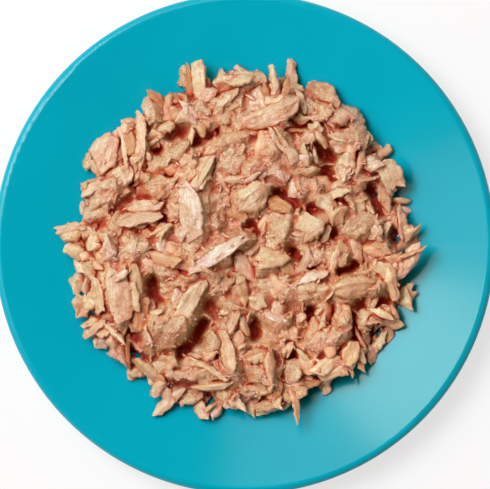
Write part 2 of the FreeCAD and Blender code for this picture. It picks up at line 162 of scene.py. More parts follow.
# The flakes laid on them, in the same way, and their look
FLAKES = [
    # left back
    (-36.5, 32, 95, 8, 5, 0, "rust", "s"), (-25, 37, 20, 9, 5, 0, "beige", "s"),
    (-17.6, 51.5, 92, 15, 3.4, 8, "rust", "f"), (-14.6, 51.5, 97, 15, 6, 9, "beige", "s"),
    (-3, 52, 12, 12, 5, 2, "beige", "s"), (-27, 46, 142, 11, 4, 10, "rust", "f"),
    (-17.5, 35, 80, 9, 3, 2, "cream", "f"), (-18.5, 41.5, 135, 13, 9, 6, "white", "f"),
    (-29, 32.5, 40, 5, 2.6, 6, "cream", "s"), (-32.5, 33, 93, 23, 4.4, 2, "pink", "f"),
    (-38.5, 30, 100, 15, 2.8, 4, "cream", "f"), (-45, 29.5, 68, 16, 10.5, -4, "pink", "w"),
    (-49, 18, 27, 12, 5, 0, "pink", "s"), (-57, 5, 194, 11, 4.4, 4, "beige", "f"),
    (-32, 12.5, 12, 15, 5, 3, "pink", "f"), (-27, 5, 22, 11, 3.4, 2, "beige", "f"),
    (-33.5, 7.8, 11, 16, 4.6, 4, "pink", "w"), (-14.5, 20, 56, 18, 6, 4, "cream", "f"),
    (-12.5, 22.5, 58, 14, 3, 6, "beige", "f"), (-17.3, 9.5, 96, 23, 9.5, 3, "white", "w"),
    (-4, 20, 6, 12, 4.4, 5, "pink", "f"),
    # right back
    (10, 49, 95, 11, 5, 4, "blush", "f"), (6.5, 49, 112, 9, 3.4, 4, "rust", "f"),
    (13.5, 49, 80, 10, 3.4, 4, "rust", "f"), (9.2, 52.5, 98, 14, 4.2, 8, "cream", "f"),
    (15, 52.3, 84, 14.5, 5, 9, "pink", "f"), (23, 36, -50, 9, 6, 0, "tan", "s"),
    (44.5, 14, 100, 11, 4, 0, "blush", "f"), (30, 9, 60, 9, 7, 0, "tan", "s"),
    (11, 13, -40, 11, 6, -6, "rust", "s"), (18, 46, -72, 12, 3.2, 4, "cream", "f"),
    (1.5, 47, -35, 6, 1.8, 4, "white", "f"), (8.5, 41, 22, 22, 7.6, 2, "pink", "w"),
    (17.5, 39.5, 12, 11, 5.4, 6, "cream", "f"), (16.5, 36.5, -6, 9, 2.6, 0, "blush", "f"),
    (24.5, 33.5, -52, 8, 3.4, 3, "tan", "s"), (30, 33.2, -20, 9.5, 2.6, 4, "cream", "f"),
    (11, 32.5, -52, 12, 2.8, 3, "cream", "f"), (13, 32, -54, 12, 2.4, 3, "beige", "f"),
    (15, 27.5, -65, 9, 4.4, 3, "cream", "s"), (22.6, 28.5, -68, 8, 3, 6, "cream", "f"),
    (21, 23, 20, 10, 4.4, 5, "beige", "f"), (30, 16, 28, 10, 4, 0, "beige", "s"),
    (38.5, 20.6, 12, 9, 3, 2, "pink", "f"), (47, 21.5, -65, 13, 9, -2, "beige", "w"),
    (50.5, 6.5, 98, 14, 4, 10, "pink", "f"), (54, 3, 60, 12, 5.5, 6, "beige", "f"),
    (45.5, 5, 62, 7, 3.2, 6, "cream", "f"), (3.5, 15, 35, 15, 10.5, 3, "cream", "w"),
    (20.5, 6, 30, 13, 10, 4, "cream", "w"), (26, 3, 68, 9, 4, 4, "cream", "f"),
    (2, 21, 30, 7, 2.6, 6, "white", "f"),
    # left front
    (-54, -2.5, 150, 9, 6, 0, "tan", "s"), (-47.5, -6.5, -62, 9, 4.6, 2, "blush", "s"),
    (-34, -11, 100, 13, 5, 0, "tan", "s"), (-47, -16, 100, 15, 5.5, 0, "tan", "s"),
    (-33, -22, 80, 12, 6, -4, "rust", "s"), (-43, -23.5, 20, 8, 4, 0, "rust", "s"),
    (-37, -34, 92, 12, 2.6, 4, "rust", "s"), (-30, -42, -38, 16, 6, 0, "tan", "s"),
    (-48, -27, 217, 12, 5, 4, "pink", "f"), (-45.5, -28.5, 25, 7, 4, 0, "blush", "s"),
    (-41, -28.5, -48, 11, 3, 4, "cream", "f"), (-25.5, -5, -18, 12, 5.6, 4, "blush", "s"),
    (-35, -16, 95, 13, 4, 0, "tan", "s"), (-40, -16.5, 277, 20, 9.5, -3, "pink", "w"),
    (-39.5, -9.5, 20, 7, 3.6, 4, "white", "f"), (-30.5, -30, -70, 8, 1.8, 4, "white", "f"),
    (-17, -18, 58, 20, 7, 4, "cream", "s"), (-22, -48, 30, 7, 5, 0, "rust", "s"),
    (-24, -50.5, 222, 15, 4.4, 2, "pink", "f"), (-10, -45, 6, 16, 4.4, 2, "beige", "f"),
    (-12.5, -38.5, -31, 18, 3.4, 3, "cream", "f"), (-6, -33.5, -74, 17, 6, 2, "pink", "w"),
    (-6.5, -13.5, 20, 10, 4.4, 3, "cream", "f"), (-1, -7, -45, 14, 7.5, 2, "pink", "s"),
    (-8.5, -3.5, 31, 24, 6, 3, "white", "f"),
    # right front
    (14, -7, -50, 11, 6, -4, "tan", "s"), (31, -3, 80, 10, 6, -4, "tan", "s"),
    (44, -8, -40, 10, 6, 0, "tan", "s"), (33.5, -35, 60, 11, 7, 0, "tan", "s"),
    (4, -33.5, 10, 11, 9, 0, "beige", "s"), (10.5, -47, 85, 9, 4, 0, "rust", "s"),
    (22, -44.5, 10, 8, 4, 0, "rust", "s"), (28, -41.5, 14, 11, 5, 0, "tan", "s"),
    (16.5, -51.5, -80, 14.5, 3.6, 4, "blush", "f"), (37, -38.5, -72, 8, 3.2, 4, "tan", "f"),
    (51.5, -18, -82, 10, 5.4, 2, "tan", "s"), (52.5, -7, 68, 17, 6, 2, "pink", "w"),
    (53, -2.5, 22, 12, 3.4, 4, "blush", "f"), (34.5, -14, 4, 15, 9, 2, "tan", "w"),
    (47, -13, -72, 13, 5.4, 3, "cream", "f"), (41.2, -18.6, 60, 6, 2.6, 6, "cream", "s"),
    (44, -22.5, -20, 12, 3.4, 3, "beige", "f"), (48, -22, -58, 7, 3.2, 3, "blush", "f"),
    (37.8, -30.5, -67, 11, 3.4, 4, "beige", "f"), (43, -31, 44, 9, 4.6, 2, "cream", "f"),
    (9.5, -39.5, -76, 15, 6, 3, "pink", "f"), (14.2, -34, 72, 7, 2.8, 6, "cream", "s"),
    (18, -35.5, -58, 8, 3, 4, "beige", "s"), (0.8, -26.5, -75, 9, 3.6, 3, "cream", "s"),
    (18, -23, 42, 6, 4, 6, "pink", "s"), (26, -38, 40, 14, 6.5, 4, "cream", "s"),
    (9, -3.5, 20, 13, 9.5, 3, "beige", "w"), (28, -6, 78, 11, 3.4, 5, "cream", "s"),
    (21.5, -10.2, 24, 12, 4.8, 4, "white", "f"),
]

# --- the pulp between the flakes ---
PULP_SLOPE = 1.1        # of the banks of pulp round the pieces
PULP_REACH = 2.8        # how far the banks reach
PULP_SMOOTH = 0.5       # that the banks are averaged over
PULP_BELOW = 0.4        # below the tops of the low pieces
PULP_BELOW_ABOVE = 1.0  # below the tops of the pieces above them
PULP_BELOW_KEPT = 0.9   # below the flakes that lie clear of it
PULP_WAVER = 0.7        # how much more or less of it there is from place to place
PULP_SAG = 0.8          # share of a crevice's depth that it sinks by
PULP_DROP = 1.2         # how much lower it lies towards its edge
PULP_DROP_WIDTH = 7     # over which it comes down to that
PULP_UNDER = 1.2        # below the tops of the pieces beyond its edge
PULP_INSIDE = 1.5       # how far inside the outline its edge lies
PULP_FRINGE = 2.5       # how much that wavers
RIM_SLOPE = 2.0         # of the heap's rim, which rises from its toe
RIM_TOE = 1.3           # how far beyond the pulp's edge the toe lies
CORE_GRID = 300         # points each way
CORE_SKIN = 0.02        # how far above the plate the core's underside and rim lie

# --- how the pieces are laid ---
LEVEL_BEYOND = 41.0     # farther out than this the flakes lie nearly level
FOLLOW, FOLLOW_LEVEL, FOLLOW_EDGE = 0.8, 0.25, 0.15     # share of the slope under it that a flake takes on
# The flakes that stand out: the spacing of their points, the share of these below what they lie on, and
# the spread of their tilt and of their lean
Laid = namedtuple("Laid", "cell sink tilt_sway lean_sway")
GRANULAR, TORN, WHOLE = Laid(0.5, 0.3, 8, 14), Laid(0.45, 0.25, 3, 10), Laid(0.45, 0.12, 3, 2)
# The loose flakes: how many, the ranges of length, width and tilt, the spacing, the share below, and how
# near a crevice they may lie, in half its width
Loose = namedtuple("Loose", "count length width tilt cell sink margin")
FILL = Loose(170, (8, 16), (5, 9), (-18, 32), 0.62, 0.3, 1.5)           # all over the core
EDGE = Loose(90, (6, 12), (3.5, 7), (-6, 14), 0.62, 0.25, None)         # round its edge
BRINK = Loose(None, (4.5, 8), (2, 4), (-4, 8), 0.5, 0.2, 1.25)          # one on the brink of each crevice
FRAY = Loose(None, (3, 5), (0.7, 1.5), 2, 0.42, 0.3, None)              # one on each end of a fibrous flake
SHRED = Loose(120, (2.5, 7), (0.5, 1.4), (-4, 10), 0.42, 0.3, 1.2)      # anywhere
LOOSE_LOOKS = ["f", "g", "g", "g"]
FILL_LEAN = 22                              # spread of the lean
EDGE_OUT, EDGE_TURN = (-2.0, 2.2), 70       # how far past the outline, and how far from pointing outward
BRINK_OUT, BRINK_TURN = (1.6, 2.8), 35      # how far past the crevice's side, and the spread of the heading
FRAY_AT, FRAY_OFF, FRAY_TURN = 0.42, 0.3, 14    # shares of length and width, and the spread of the heading
FRAY_INSIDE = 8                             # how far within the core's edge fibrous flakes have them
# Lumps: how many, the range of the radius, how finely the ball is divided, its proportions, the size and
# the depth of the grain on it, and the share below. The clear lumps of jelly have their places in JELLY.
Lumps = namedtuple("Lumps", "count radius level shape grain depth sink")
CLUMP = Lumps(16, (1.2, 2.8), 3, (1.3, 0.9, 0.5), 1.3, 0.5, 0.6)
CRUMB = Lumps(900, (0.25, 0.7), 1, (1.5, 0.8, 0.7), 0.9, 0.15, 0.5)
CLEAR = Lumps(None, None, 3, (1.4, 1.05, 0.5), 2.6, 0.5, 0.75)
CLUMP_MARGIN = 1.8      # how near a crevice the clumps may lie, in half its width
CRUMBS_ON_TOP = 0.2     # share of the crumbs that stay on the flakes on top
# Lumps of clear jelly: x, y, radius
JELLY = [
    (24.8, 18.2, 3.6), (5.5, 31.5, 2.8), (34, 30, 2.2), (42.5, -2.2, 2.8), (9.5, -13.2, 3.0),
    (-44.5, -3.6, 2.4), (31.3, -23.2, 2.4), (-24.2, -1.0, 2.2), (-6.5, -12.5, 1.8), (26.5, -32, 2.4),
    (-23.5, 24.5, 2.2), (7.5, 7, 2.4),
]


# --- noise ---
LATTICE_SIZE = 64
LATTICE = np.random.default_rng(1).uniform(-1, 1, (LATTICE_SIZE,) * 3)
JITTER = np.random.default_rng(2).uniform(0, 1, (LATTICE_SIZE,) * 3 + (3,))


def cells(*place):
    """Places, and the corner of the unit cell that each is in."""
    places = np.broadcast_arrays(*(np.asarray(c, float) for c in place))
    return places, [np.floor(c).astype(int) for c in places]


def noise(x, y, z=0.0):
    """Smooth repeatable noise from -1 to 1."""
    places, low = cells(x, y, z)
    part = [c - k for c, k in zip(places, low)]
    part = [f * f * (3 - 2 * f) for f in part]
    total = 0.0
    for corner in np.ndindex(2, 2, 2):
        weight = 1.0
        for side, f in zip(corner, part):
            weight = weight * (f if side else 1 - f)
        index = tuple((k + side) % LATTICE_SIZE for k, side in zip(low, corner))
        total = total + weight * LATTICE[index]
    return total


def rough(x, y, z=0.0, octaves=3):
    """Noise with finer noise on it."""
    return sum(noise(x * 2**k, y * 2**k, z + 7.3 * k) / 2**k for k in range(octaves))


def grains(x, y, z):
    """Distance to the nearest of scattered points, about one to each unit cell."""
    places, low = cells(x, y, z)
    nearest = np.full(places[0].shape, 9.0)
    for step in np.ndindex(3, 3, 3):
        cell = [k + s - 1 for k, s in zip(low, step)]
        jitter = JITTER[tuple(k % LATTICE_SIZE for k in cell)]
        away = sum((cell[a] + jitter[..., a] - places[a]) ** 2 for a in range(3))
        nearest = np.minimum(nearest, away)
    return np.sqrt(nearest)


def beads(height, length, width, x, y, seed):
    """Relief of rounded grains of a length and a width."""
    return height * (0.5 - grains(x / length, y / width, seed))


def smooth_step(low, high, value):
    share = np.clip((value - low) / (high - low), 0, 1)
    return share * share * (3 - 2 * share)


def linear(colour):
    """A displayed colour as light."""
    share = np.array(colour, float) / 255
    return np.where(share <= 0.04045, share / 12.92, ((share + 0.055) / 1.055) ** 2.4)


# --- the pile ---
def plate_surface(radius):
    """Height of the plate's upper surface, read from its mesh."""
    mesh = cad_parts["plate"].data
    co = np.array([v.co for v in mesh.vertices]) / MM
    up = np.array([v.normal.z for v in mesh.vertices]) > 0.5
    upper = co[up & (co[:, 2] > FLOOR_TOP - 0.05)]
    away = np.hypot(upper[:, 0], upper[:, 1])
    order = np.argsort(away)
    return np.interp(radius, away[order], upper[order, 2])


def outline(angle):
    """Radius of the core at an angle."""
    return CORE_RADIUS + sum(h * np.cos(n * (angle - math.radians(c))) for n, h, c in OUTLINE_LOBES)


def past_outline(x, y):
    """How far a place lies beyond the outline."""
    return np.hypot(x, y) - outline(np.arctan2(y, x))


def crevices(x, y):
    """For each crevice, how far a place is from its wavering middle line, in half widths, and its depth."""
    waver, size = 1.1, 2.6
    x, y = x + waver * noise(x / size, y / size, 31), y + waver * noise(x / size, y / size, 47)
    for x0, y0, x1, y1, half, depth in HOLLOWS:
        dx, dy = x1 - x0, y1 - y0
        share = np.clip(((x - x0) * dx + (y - y0) * dy) / (dx * dx + dy * dy), 0, 1)
        yield np.hypot(x - x0 - share * dx, y - y0 - share * dy) / half, depth


def hollow_depth(x, y):
    return np.max([depth * np.exp(-away**3) for away, depth in crevices(x, y)], axis=0)


def in_hollow(x, y, margin):
    return min(away for away, _ in crevices(x, y)) < margin


def core_height(x, y):
    """Height of the core above the plate's floor."""
    share = np.hypot(x, y) / outline(np.arctan2(y, x))
    dome = CORE_HEIGHT * np.clip(1 - share**CORE_EDGE_POWER, 0, 1) ** CORE_SIDE_POWER
    return np.where(share < 1, np.maximum(dome - hollow_depth(x, y), CORE_LEAST), 0.0)


class Pile:
    """The height of the food at each spot, as piece after piece is laid on it."""

    STEP = 0.4
    REACH = 68.0

    def __init__(self):
        self.count = int(2 * self.REACH / self.STEP) + 1
        line = np.linspace(-self.REACH, self.REACH, self.count)
        self.x, self.y = np.meshgrid(line, line, indexing="ij")
        core = FLOOR_TOP + core_height(self.x, self.y)
        self.z = np.maximum(plate_surface(np.hypot(self.x, self.y)), core)
        self.tint = np.zeros((self.count, self.count, 3)) + linear(TONES["pulp"])
        self.kept = np.zeros((self.count, self.count), bool)

    def index(self, x, y):
        near = (np.rint((np.asarray(c) + self.REACH) / self.STEP) for c in (x, y))
        return tuple(np.clip(k, 0, self.count - 1).astype(int) for k in near)

    def at(self, x, y):
        return self.z[self.index(x, y)]

    def lay(self, points, sink, tint, keep=False):
        """Lowers a piece on to the pile, with a share of its points below what it lies on."""
        x, y, z = points.T
        points[:, 2] += np.quantile(self.at(x, y) - z, 1 - sink)
        i, j = self.index(x, y)
        above = points[:, 2] >= self.z[i, j]
        self.tint[i[above], j[above]] = tint
        self.kept[i, j] |= keep
        np.maximum.at(self.z, (i, j), points[:, 2])

    def slopes(self, x, y, heading, length, width):
        """Slope of the pile along and across a heading."""
        ahead = np.array([math.cos(heading), math.sin(heading)])
        aside = np.array([-ahead[1], ahead[0]])
        found = []
        for way, reach in ((ahead, 0.4 * length), (aside, 0.8 * width)):
            t = np.linspace(-reach, reach, 9)
            heights = self.at(x + way[0] * t, y + way[1] * t)
            found.append(float(np.polyfit(t, heights, 1)[0]))
        return found

    def banked(self, slope, reach):
        """The pile with banks that fall away from everything in it at a slope."""
        z = self.z.copy()
        for _ in range(int(reach / self.STEP)):
            for axis in (0, 1):
                z = np.maximum(z, np.maximum(np.roll(z, 1, axis), np.roll(z, -1, axis)) - slope * self.STEP)
        return z

    def smoothed(self, reach, z=None):
        """The pile's height averaged over squares of about this reach."""
        n = max(1, int(reach / self.STEP))
        z = np.pad(self.z if z is None else z, n, mode="edge")
        for axis in (0, 1):
            sums = np.cumsum(z, axis=axis)
            after = np.split(sums, [2 * n], axis)[1]
            before = np.split(sums, [sums.shape[axis] - 2 * n], axis)[0]
            z = (after - before) / (2 * n)
        return z

    def between(self, grid, x, y):
        """Values of a grid like the pile's at places between its points."""
        i, j = (x + self.REACH) / self.STEP, (y + self.REACH) / self.STEP
        i0, j0 = np.floor(i).astype(int), np.floor(j).astype(int)
        fi, fj = i - i0, j - j0
        low = grid[i0, j0] * (1 - fi) + grid[i0 + 1, j0] * fi
        high = grid[i0, j0 + 1] * (1 - fi) + grid[i0 + 1, j0 + 1] * fi
        return low * (1 - fj) + high * fj


class Kind:
    """Every piece of one kind, joined into one mesh."""

    def __init__(self, name):
        self.name = name
        self.points, self.faces, self.tints, self.fibres = [], [], [], []
        self.total = 0

    def add(self, points, faces, tint, fibre):
        self.points.append(points)
        self.faces.append(faces + self.total)
        self.tints.append(np.broadcast_to(tint, (len(points), 3)))
        self.fibres.append(fibre)
        self.total += len(points)

    def make(self, material, pile, wider, nearest):
        """The mesh of this kind. Its tints get painted shade, partly the redder torn meat and juice: steep
        sides redder, dents and hollows darker and redder; and painted light makes the front right paler.
        """
        points = np.concatenate(self.points)
        tints = np.concatenate(self.tints)
        mesh = bpy.data.meshes.new(self.name)
        mesh.from_pydata((points * MM).tolist(), [], np.concatenate(self.faces).tolist())
        mesh.polygons.foreach_set("use_smooth", [True] * len(mesh.polygons))
        normals = np.zeros(3 * len(points))
        mesh.vertices.foreach_get("normal", normals)
        x, y, z = points.T
        spot = pile.index(x, y)
        shade_left = 1 - SHADE_OFF_OUTSIDE * smooth_step(*OUTSIDE, past_outline(x, y))
        # painted shade on steep sides, in dents and in hollows, and painted light on the front right
        for tone, share in (
            (SIDE_SHADE, smooth_step(*STEEP, normals[2::3])),
            (DENT_SHADE, smooth_step(*DENTED, nearest[spot] - z) * shade_left),
            (HOLLOW_SHADE, smooth_step(*SUNK, wider[spot] - z) * shade_left),
            (FRONT_RIGHT_PAINTED_LIGHT, smooth_step(*FRONT_RIGHT_REACH, (x - y) / math.sqrt(2))),
        ):
            tints = tints * (1 - share[:, None] * (1 - np.array(tone)))
        for name, values in (("tint", tints), ("fibre", np.concatenate(self.fibres))):
            made = mesh.attributes.new(name, "FLOAT_VECTOR", "POINT")
            made.data.foreach_set("vector", np.asarray(values, np.float32).ravel())
        mesh.validate()
        piece = placed(self.name, mesh)
        mesh.materials.append(material)
        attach(piece, "root")
        return piece


def placed(name, data):
    """A new object in the scene."""
    made = bpy.data.objects.new(name, data)
    bpy.context.scene.collection.objects.link(made)
    return made


# --- pieces ---
def sheet_faces(along, across):
    """Triangles of a closed sheet: rings round its section, from one end to the other, and both ends."""
    ring = 2 * across - 2
    i, k = np.meshgrid(np.arange(along - 1), np.arange(ring), indexing="ij")
    here, there = i * ring, (i + 1) * ring
    after = (k + 1) % ring
    a, b, c, d = (q.ravel() for q in (here + k, here + after, there + after, there + k))
    faces = [np.stack([a, d, c], 1), np.stack([a, c, b], 1)]
    top = np.arange(across - 1)
    under = (ring - top) % ring
    under_next = ring - top - 1
    last = (along - 1) * ring
    for end in (np.stack([top, top + 1, under_next], 1), np.stack([top, under_next, under], 1)):
        faces.append(end)
        faces.append(last + end[:, ::-1])
    faces = np.concatenate(faces)
    proper = (faces[:, 0] != faces[:, 1]) & (faces[:, 1] != faces[:, 2]) & (faces[:, 0] != faces[:, 2])
    return faces[proper]


def torn_end(v, width, most, blunt):
    """How far back each strand of a flake ends at one end, which is torn into one to three points."""
    points = int(chance.integers(1, 2 + min(2, int(width / 3))))
    tips = chance.uniform(-0.9, 0.9, points)
    starts = chance.uniform(0, 0.5, points) * most
    steep = chance.uniform(0.35, 1.3, points) * blunt
    back = np.min([start + s * np.abs(v - t) * width / 2 for t, start, s in zip(tips, starts, steep)], axis=0)
    back = back + 0.35 * np.abs(noise(v * width / 1.1, chance.uniform(0, 60)))
    return np.minimum(back, most)


def side_line(u, narrow, wide):
    """Half the width of a flake along its length: straight stretches between corners."""
    corners = np.concatenate([[0], np.sort(chance.uniform(0.12, 0.88, 3)), [1]])
    reach = chance.uniform(wide, 1.0, 5)
    reach[[0, -1]] = chance.uniform(narrow, 0.8, 2)
    return np.interp(u, corners, reach)


def bent(u, v, x, y, length, width, seed):
    """Height of a flake's back: flat sides that meet along a ridge or trough, and along a break across it."""
    ridge = chance.uniform(-0.6, 0.6) + chance.uniform(-0.5, 0.5) * (u - 0.5)
    left, right = chance.uniform(-0.3, 0.6, 2)
    fold = chance.uniform(0.25, 0.75)
    fore, aft = chance.uniform(-0.1, 0.3, 2)
    roof = -0.5 * width * (left * np.clip(ridge - v, 0, None) + right * np.clip(v - ridge, 0, None))
    roof = roof - length * (fore * np.clip(fold - u, 0, None) + aft * np.clip(u - fold, 0, None))
    return roof + chance.uniform(-0.4, 0.4) * y * (u - 0.5) + 0.45 * noise(x / 3.5, y / 2.8, seed)


def grain_relief(x, y, seed):
    """Relief of a granular flake: soft lumps, grains and finer grains."""
    relief = 0.8 * rough(x / 3.4, y / 3.0, seed) + beads(0.9, 2.3, 2.0, x, y, seed)
    return relief + beads(0.35, 1.0, 0.9, x, y, seed + 5)


def strand_relief(x, y, seed, height):
    """Relief of the other flakes: strands, ledges where layers broke away, and pulp here and there."""
    strand = 1 - np.abs(noise(x / 9 + 0.4 * noise(x / 3, y / 3, seed), y / 0.9, seed + 5)) * 2
    relief = 0.12 * strand + 0.10 * noise(x / 3, y / 0.5, seed + 11)
    relief = relief + 0.12 * noise(x / 1.2, y / 1.2, seed + 13)
    ledge = smooth_step(0.02, 0.08, noise(x / 6.5, y / 2.2, seed + 17))
    ledge = ledge + smooth_step(0.22, 0.28, noise(x / 5, y / 1.7, seed + 27))
    pulp = 0.22 * rough(x / 1.5, y / 1.2, seed + 21) + beads(0.35, 1.2, 0.9, x, y, seed + 23)
    return relief + height * (ledge - 0.6) + pulp * smooth_step(-0.3, 0.4, noise(x / 4, y / 3, seed + 29))


def flake(length, width, look, cell):
    """A torn flake along X about the origin: its points, its faces and each point's place in the fibres."""
    made = LOOKS[look]
    along = max(7, int(length / cell) + 1)
    across = max(4, int(width / cell) + 1)
    u = np.linspace(0, 1, along)[:, None]
    v = np.linspace(-1, 1, across)[None, :]
    seed = chance.uniform(0, 60)
    thick = chance.uniform(*THIN_SHARE) * width + THIN_MORE
    if look == "g":
        thick = chance.uniform(*THICK_SHARE) * width + THICK_MORE
    start = torn_end(v, width, TORN_SHARE * length, made.blunt) / length
    stop = torn_end(v, width, TORN_SHARE * length, made.blunt) / length
    x = length * (start + (1 - start - stop) * u - 0.5)
    right = side_line(u, made.narrow, made.wide)
    reach = np.where(v > 0, right, side_line(u, made.narrow, made.wide))
    side = np.sign(v)
    teeth = 0.5 * np.abs(noise(x / 1.3, 4 * side + seed)) + 0.25 * noise(x / 0.6, 6 * side + seed)
    if look == "g":
        teeth = teeth + 0.9 * noise(x / 2.4, 9 * side + seed)
    sway = 0.12 * noise(u * 2.0, seed + 9)
    y = v * (0.5 * width * reach - teeth * np.abs(v)) + 0.5 * width * sway
    roof = bent(u, v, x, y, length, width, seed)
    rim = 1 - np.sqrt(np.clip(1 - np.abs(v) ** made.rim_power, 0, 1))
    taper = np.clip(np.minimum(u, 1 - u) * length / TAPER_LENGTH, TIP_THICKNESS, 1) ** 0.8
    body = thick * taper * (0.85 + 0.3 * noise(x / 3.5, y / 3.5, seed + 3))
    relief = grain_relief(x, y, seed) if look == "g" else strand_relief(x, y, seed, made.ledge)
    top = roof - 0.5 * body * rim + relief * (1 - rim) * taper
    under = np.minimum(0.7 * roof - body, top - 0.15)
    x, y, top, under = (np.broadcast_to(c, (along, across)) for c in (x, y, top, under))
    inner = slice(across - 2, 0, -1)
    rings = [np.concatenate([c, c2[:, inner]], 1) for c, c2 in ((x, x), (y, y), (top, under))]
    points = np.stack([r.ravel() for r in rings], 1)
    fibre = points + np.array([seed * 3, seed * 5, seed])
    return points, sheet_faces(along, across), fibre


def round_ball(level):
    """Points and triangles of a ball of radius 1."""
    ball = bmesh.new()
    bmesh.ops.create_icosphere(ball, subdivisions=level, radius=1)
    points = np.array([v.co for v in ball.verts])
    faces = np.array([[v.index for v in f.verts] for f in ball.faces])
    ball.free()
    return points, faces


BALLS = {made.level: round_ball(made.level) for made in (CLUMP, CRUMB, CLEAR)}


def lump(radius, made):
    """An irregular lump: a ball pulled about by noise, with a grainy surface."""
    ball, faces = BALLS[made.level]
    seed = chance.uniform(0, 60)
    pull = 1 + 0.45 * noise(*(ball * 1.3 + seed).T)
    points = ball * pull[:, None] * radius * np.array(made.shape)
    x, y, z = (points / made.grain + seed).T
    relief = made.depth * (rough(x, y, z) - 1.1 * (grains(x * 1.2, y * 1.2, z * 1.2) - 0.5))
    points = points + ball * relief[:, None]
    return points, faces, points + seed


def turned(points, heading, pitch=0.0, roll=0.0):
    """Points rolled about X, pitched nose-up about Y and turned to a heading."""
    c, s = math.cos(roll), math.sin(roll)
    points = points @ np.array([[1, 0, 0], [0, c, -s], [0, s, c]]).T
    c, s = math.cos(pitch), math.sin(pitch)
    points = points @ np.array([[c, 0, -s], [0, 1, 0], [s, 0, c]]).T
    c, s = math.cos(heading), math.sin(heading)
    return points @ np.array([[c, -s, 0], [s, c, 0], [0, 0, 1]]).T


def lay_flake(kind, pile, x, y, heading, length, width, tilt, tone, look, how,
              follow=FOLLOW, lean=0.0, keep=False):
    heading = math.radians(heading)
    points, faces, fibre = flake(length, width, look, how.cell)
    ahead, aside = pile.slopes(x, y, heading, length, width)
    steepest = math.radians(STEEPEST)
    pitch = np.clip(math.atan(follow * ahead), -steepest, steepest) + math.radians(tilt)
    roll = np.clip(math.atan(follow * aside), -steepest, steepest) + math.radians(lean)
    points = turned(points, heading, pitch, roll) + np.array([x, y, 0])
    tint = tint_of(tone)
    pile.lay(points, how.sink, tint, keep)
    kind.add(points, faces, tint, fibre)


def lay_lump(kind, pile, x, y, radius, heading, tint, how):
    points, faces, fibre = lump(radius, how)
    points = turned(points, heading) + np.array([x, y, 0])
    pile.lay(points, how.sink, tint)
    kind.add(points, faces, tint, fibre)


def sized(loose):
    """A length and a width taken at random."""
    return chance.uniform(*loose.length), chance.uniform(*loose.width)


def swayed(tilt, laid):
    """A tilt and a lean, each a little off at random."""
    return tilt + chance.normal() * laid.tilt_sway, chance.normal() * laid.lean_sway


def tone_at(x, y):
    """A tone for a piece, alike for pieces that lie near each other."""
    place = 0.45 + 0.4 * float(noise(x / 9, y / 9, 3.5)) + 0.16 * chance.normal()
    return TONE_RANGE[int(np.clip(place * len(TONE_RANGE), 0, len(TONE_RANGE) - 1))]


def tint_of(tone):
    """A tone, a little lighter or darker and warmer or cooler from piece to piece."""
    warm = chance.uniform(-0.02, 0.02)
    return linear(TONES[tone]) * (1 + chance.uniform(-0.06, 0.05)) * np.array([1, 1 - warm, 1 - 1.6 * warm])


def somewhere(radius):
    """A place taken at random on a disc."""
    r, angle = radius * math.sqrt(chance.uniform(0, 1)), chance.uniform(0, 2 * math.pi)
    return r * math.cos(angle), r * math.sin(angle)


def spiral(count, radius):
    """Places spread evenly over a disc."""
    golden = math.pi * (3 - math.sqrt(5))
    for i in range(count):
        r = radius * math.sqrt((i + 0.5) / count)
        yield r * math.cos(i * golden), r * math.sin(i * golden)


# --- the core ---
def disc_grid(count):
    """A square grid of points drawn evenly over a disc of radius 1."""
    line = np.linspace(-1, 1, count)
    a, b = np.meshgrid(line, line, indexing="ij")
    wide = np.abs(a) > np.abs(b)
    r = np.where(wide, a, b)
    other = np.where(wide, b, a)
    turn = math.pi / 4 * other / np.where(r == 0, 1, r)
    angle = np.where(wide, turn, math.pi / 2 - turn)
    return r * np.cos(angle), r * np.sin(angle)


def pulp_level(pile, below):
    """Height of the pulp banked up between what lies in the pile, with a sloped rim round it."""
    x, y = pile.x, pile.y
    waver = PULP_WAVER * noise(x / 5.0, y / 5.0, 61)
    banked = pile.smoothed(PULP_SMOOTH, pile.banked(PULP_SLOPE, PULP_REACH))
    level = banked - below + waver - PULP_SAG * hollow_depth(x, y)
    beyond = past_outline(x, y) + PULP_INSIDE + PULP_FRINGE * noise(x / 3, y / 3, 71)
    level = level - PULP_DROP * smooth_step(-PULP_DROP_WIDTH, 0, beyond)
    level = np.where(beyond < 0, level, pile.z - PULP_UNDER)
    return np.minimum(level, plate_surface(np.hypot(x, y)) + RIM_SLOPE * np.maximum(RIM_TOE - beyond, 0))


def pulp_edge(level, pile):
    """How far out the pulp reaches, at even steps of angle."""
    steps, search, clear = 360, 8, 0.4
    angles = np.linspace(-math.pi, math.pi, steps + 1)
    radii = np.arange(CORE_RADIUS - search, CORE_RADIUS + search, 0.2)
    x, y = np.outer(np.cos(angles), radii), np.outer(np.sin(angles), radii)
    above = pile.between(level, x, y) > plate_surface(radii) + clear
    above[:, -1] = False
    reach = radii[np.argmin(above, axis=1)][:-1]
    even = sum(np.roll(reach, k) for k in (-2, -1, 0, 1, 2)) / 5
    return angles, even[np.arange(steps + 1) % steps]


